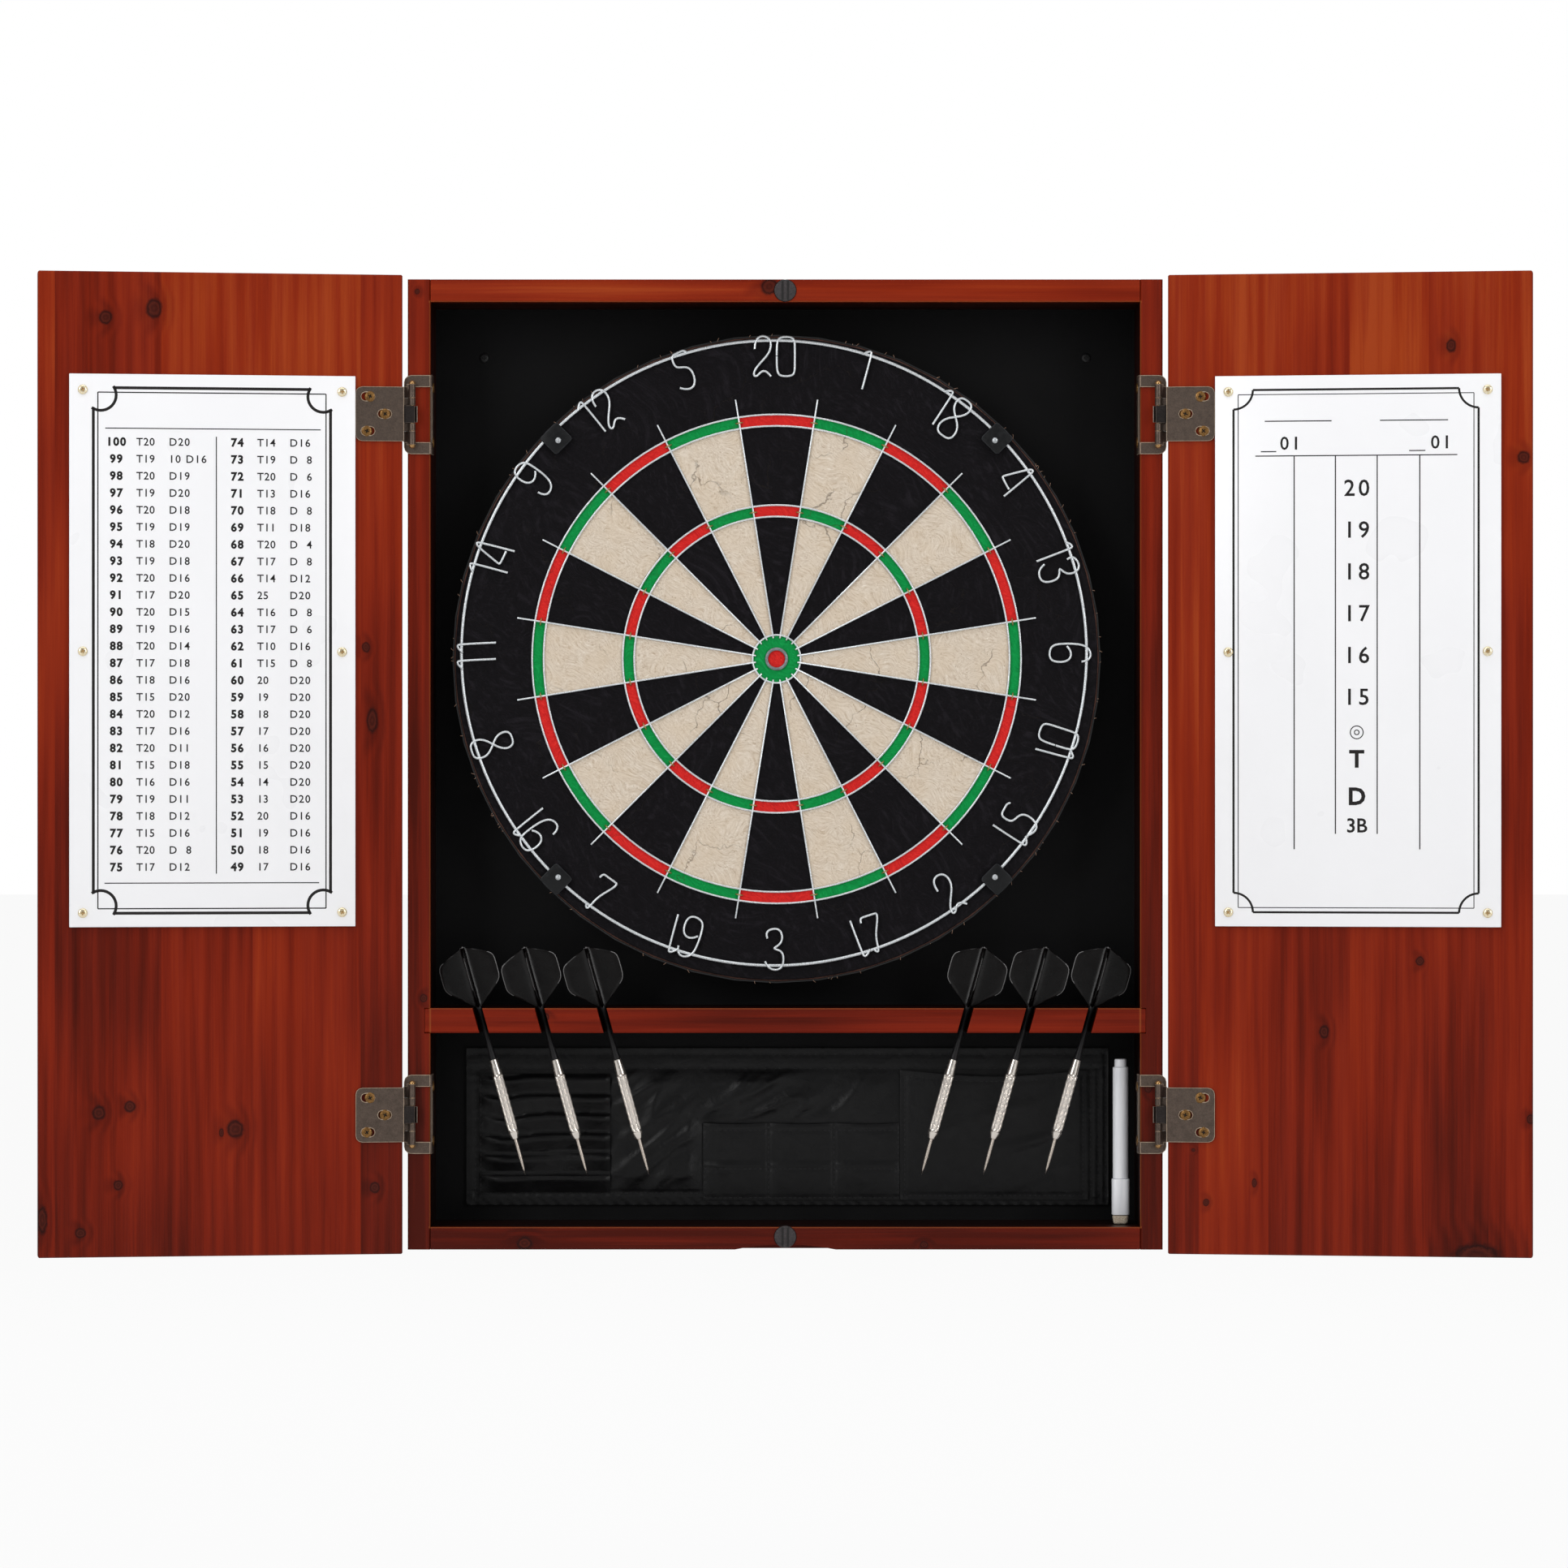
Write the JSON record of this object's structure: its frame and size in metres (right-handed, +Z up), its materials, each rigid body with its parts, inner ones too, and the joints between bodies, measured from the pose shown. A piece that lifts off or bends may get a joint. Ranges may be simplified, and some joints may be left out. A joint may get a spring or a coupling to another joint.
{
  "type": "dart board cabinet",
  "caption": "Wall cabinet in stained pine with wrap-hinged doors, a bristle dartboard, chart and score boards, a lower bay with a wallet, slotted darts and a marker.",
  "frame": {"origin": "middle of the cabinet's flat back, on the wall", "axes": "+X to the right of somebody facing the open cabinet, +Y into the wall, +Z up"},
  "size_m": [1.027, 0.12, 0.676],
  "materials": {
    "stained_pine": "reddish-brown stain under satin lacquer",
    "black_hardboard": "matt black",
    "magnet_ferrite": "dull grey",
    "white_coated_board": "glossy wipe-clean coating",
    "antique_bronze": "antique bronze plating, worn at the edges",
    "brass": "polished",
    "zinc_steel": "zinc plated",
    "chipboard": "raw",
    "sisal_fibre": "compressed end-grain fibre, printed",
    "black_steel_band": "black",
    "galvanised_wire": "bright drawn wire",
    "black_plastic": "satin",
    "nickel_plate": "nickel plated, knurled grip",
    "black_nylon": "woven nylon with a slight sheen",
    "white_plastic": "glossy",
    "cream_felt": "felt"
  },
  "bodies": {
    "cabinet": {"left_side": "stained_pine", "right_side": "stained_pine", "top_panel": "stained_pine", "bottom_panel": "stained_pine", "divider_shelf": "stained_pine", "back_panel": "black_hardboard", "upper_magnet": "magnet_ferrite", "lower_magnet": "magnet_ferrite", "wall_bracket": "zinc_steel", "left_upper_frame_leaf": "antique_bronze", "left_upper_hinge_pin": "brass", "left_upper_closer_spring": "zinc_steel", "left_lower_frame_leaf": "antique_bronze", "left_lower_hinge_pin": "brass", "left_lower_closer_spring": "zinc_steel", "right_upper_frame_leaf": "antique_bronze", "right_upper_hinge_pin": "brass", "right_upper_closer_spring": "zinc_steel", "right_lower_frame_leaf": "antique_bronze", "right_lower_hinge_pin": "brass", "right_lower_closer_spring": "zinc_steel"},
    "left_door": {"left_door": "stained_pine", "checkout_chart": "white_coated_board", "left_upper_door_leaf": "antique_bronze", "left_lower_door_leaf": "antique_bronze"},
    "right_door": {"right_door": "stained_pine", "score_board": "white_coated_board", "right_upper_door_leaf": "antique_bronze", "right_lower_door_leaf": "antique_bronze"},
    "dartboard": {"board_backing": "chipboard", "fibre_disc": "sisal_fibre", "rim_band": "black_steel_band", "spider": "galvanised_wire", "bullseye_ring": "galvanised_wire", "number_ring": "galvanised_wire", "hanging_screw": "zinc_steel", "ring_clip_1": "black_plastic", "ring_clip_2": "black_plastic", "ring_clip_3": "black_plastic", "ring_clip_4": "black_plastic"},
    "wallet": {"wallet_back": "black_nylon", "wallet_sleeves": "black_nylon", "wallet_small_pockets": "black_nylon", "wallet_large_pocket": "black_nylon"},
    "marker_cap": {"marker_cap": "white_plastic", "marker_eraser": "cream_felt"},
    "marker_pen": {"marker_pen": "white_plastic"},
    "dart_1": {"dart_1_barrel": "nickel_plate", "dart_1_flight": "black_plastic"},
    "dart_2": {"dart_2_barrel": "nickel_plate", "dart_2_flight": "black_plastic"},
    "dart_3": {"dart_3_barrel": "nickel_plate", "dart_3_flight": "black_plastic"},
    "dart_4": {"dart_4_barrel": "nickel_plate", "dart_4_flight": "black_plastic"},
    "dart_5": {"dart_5_barrel": "nickel_plate", "dart_5_flight": "black_plastic"},
    "dart_6": {"dart_6_barrel": "nickel_plate", "dart_6_flight": "black_plastic"}
  },
  "joints": [
    {"name": "left_door_hinge", "type": "hinge", "parent": "cabinet", "child": "left_door", "pos_m": [-0.2577, -0.08, 0], "axis": [0, 0, -1], "range_deg": [-171.5, 8.5]},
    {"name": "right_door_hinge", "type": "hinge", "parent": "cabinet", "child": "right_door", "pos_m": [0.2577, -0.08, 0], "axis": [0, 0, 1], "range_deg": [-171.5, 8.5]},
    {"name": "board_turn", "type": "hinge", "parent": "cabinet", "child": "dartboard", "pos_m": [-0.006, -0.0365, 0.07345], "axis": [0, 1, 0], "continuous": true},
    {"name": "dart_1_slide", "type": "slide", "parent": "cabinet", "child": "dart_1", "axis": [0, -1, 0], "range_m": [0, 0.06]},
    {"name": "dart_2_slide", "type": "slide", "parent": "cabinet", "child": "dart_2", "axis": [0, -1, 0], "range_m": [0, 0.06]},
    {"name": "dart_3_slide", "type": "slide", "parent": "cabinet", "child": "dart_3", "axis": [0, -1, 0], "range_m": [0, 0.06]},
    {"name": "dart_4_slide", "type": "slide", "parent": "cabinet", "child": "dart_4", "axis": [0, -1, 0], "range_m": [0, 0.06]},
    {"name": "dart_5_slide", "type": "slide", "parent": "cabinet", "child": "dart_5", "axis": [0, -1, 0], "range_m": [0, 0.06]},
    {"name": "dart_6_slide", "type": "slide", "parent": "cabinet", "child": "dart_6", "axis": [0, -1, 0], "range_m": [0, 0.06]},
    {"name": "wallet_slide", "type": "slide", "parent": "cabinet", "child": "wallet", "axis": [0, -1, 0], "range_m": [0, 0.03]},
    {"name": "marker_slide", "type": "slide", "parent": "cabinet", "child": "marker_cap", "axis": [0, -1, 0], "range_m": [0, 0.1]},
    {"name": "marker_uncap", "type": "slide", "parent": "marker_cap", "child": "marker_pen", "axis": [0, 0, 1], "range_m": [0, 0.019]}
  ]
}
